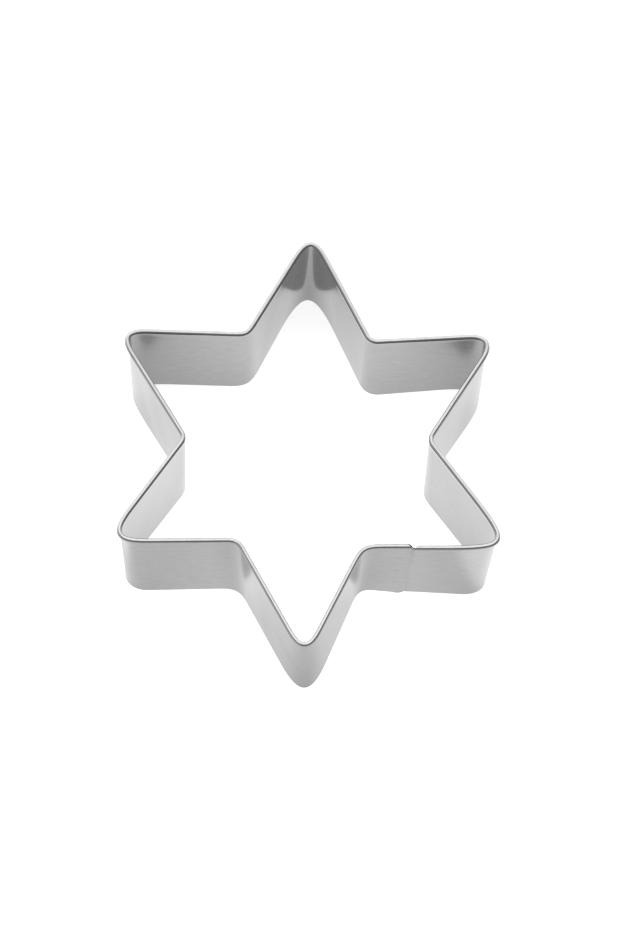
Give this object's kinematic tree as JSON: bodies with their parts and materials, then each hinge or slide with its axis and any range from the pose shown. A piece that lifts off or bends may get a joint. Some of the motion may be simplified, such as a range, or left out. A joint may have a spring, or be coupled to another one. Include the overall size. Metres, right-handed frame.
{
  "type": "cookie cutter",
  "caption": "Six-pointed star cookie cutter of thin steel strip with a rolled top edge, a plain cutting edge and a spot-welded lap joint.",
  "frame": {"origin": "under the middle of the star's bounding box, level with the cutting edge", "axes": "+Z from the cutting edge up to the rolled rim, +Y to the far point of the star, +X to the right with the lapped joint on the lower right wall"},
  "size_m": [0.0676, 0.0761, 0.0254],
  "materials": {
    "satin_steel": "satin stainless strip, nearly mirror smooth along the wall, with a brighter rolled edge",
    "weld_steel": "dull resistance weld, slightly dished by the electrodes"
  },
  "bodies": {
    "root": {"star_band": "satin_steel", "spot_welds": "weld_steel"}
  },
  "joints": []
}
